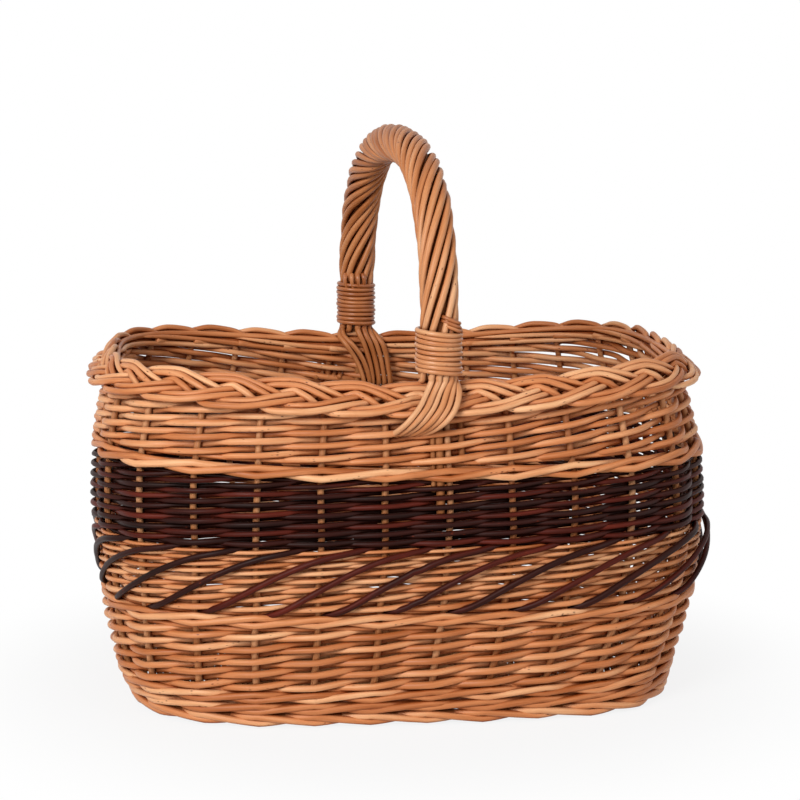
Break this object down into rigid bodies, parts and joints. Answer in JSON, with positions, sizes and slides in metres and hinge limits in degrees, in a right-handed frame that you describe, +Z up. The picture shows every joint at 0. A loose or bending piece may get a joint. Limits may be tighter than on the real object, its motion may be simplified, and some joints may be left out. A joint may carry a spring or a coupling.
{
  "type": "foraging basket",
  "caption": "Oblong woven willow basket for gathering mushrooms, with a dark woven band, slanting rods, a plaited border and a fixed twisted bow handle across its middle.",
  "frame": {"origin": "middle of the foot, on the surface that the basket stands on", "axes": "+Z up, X along the basket's length, -Y its front long side; the handle crosses the short way"},
  "size_m": [0.4288, 0.3186, 0.3841],
  "materials": {
    "peeled_stake": "satin",
    "buff_willow": "satin",
    "dark_willow": "satin",
    "inner_willow": "matte",
    "binding_rod": "satin"
  },
  "bodies": {
    "root": {"stake_01": "peeled_stake", "stake_02": "peeled_stake", "stake_03": "peeled_stake", "stake_04": "peeled_stake", "stake_05": "peeled_stake", "stake_06": "peeled_stake", "stake_07": "peeled_stake", "stake_08": "peeled_stake", "stake_09": "peeled_stake", "stake_10": "peeled_stake", "stake_11": "peeled_stake", "stake_12": "peeled_stake", "stake_13": "peeled_stake", "stake_14": "peeled_stake", "stake_15": "peeled_stake", "stake_16": "peeled_stake", "stake_17": "peeled_stake", "stake_18": "peeled_stake", "stake_19": "peeled_stake", "stake_20": "peeled_stake", "stake_21": "peeled_stake", "stake_22": "peeled_stake", "stake_23": "peeled_stake", "stake_24": "peeled_stake", "stake_25": "peeled_stake", "stake_26": "peeled_stake", "stake_27": "peeled_stake", "stake_28": "peeled_stake", "stake_29": "peeled_stake", "stake_30": "peeled_stake", "stake_31": "peeled_stake", "handle_rod_1": "buff_willow", "handle_rod_2": "buff_willow", "handle_rod_3": "buff_willow", "handle_rod_4": "buff_willow", "handle_rod_5": "buff_willow", "handle_rod_6": "buff_willow", "handle_rod_7": "buff_willow", "handle_rod_8": "buff_willow", "upsett_wale": "buff_willow", "lower_siding": "buff_willow", "middle_wale": "buff_willow", "fine_siding": "buff_willow", "upper_wale": "buff_willow", "upper_siding": "buff_willow", "foot_ring": "buff_willow", "border": "buff_willow", "dark_siding": "dark_willow", "handle_bow": "inner_willow", "base_weave": "inner_willow", "base_sticks": "inner_willow", "near_binding": "binding_rod", "far_binding": "binding_rod"}
  },
  "joints": []
}
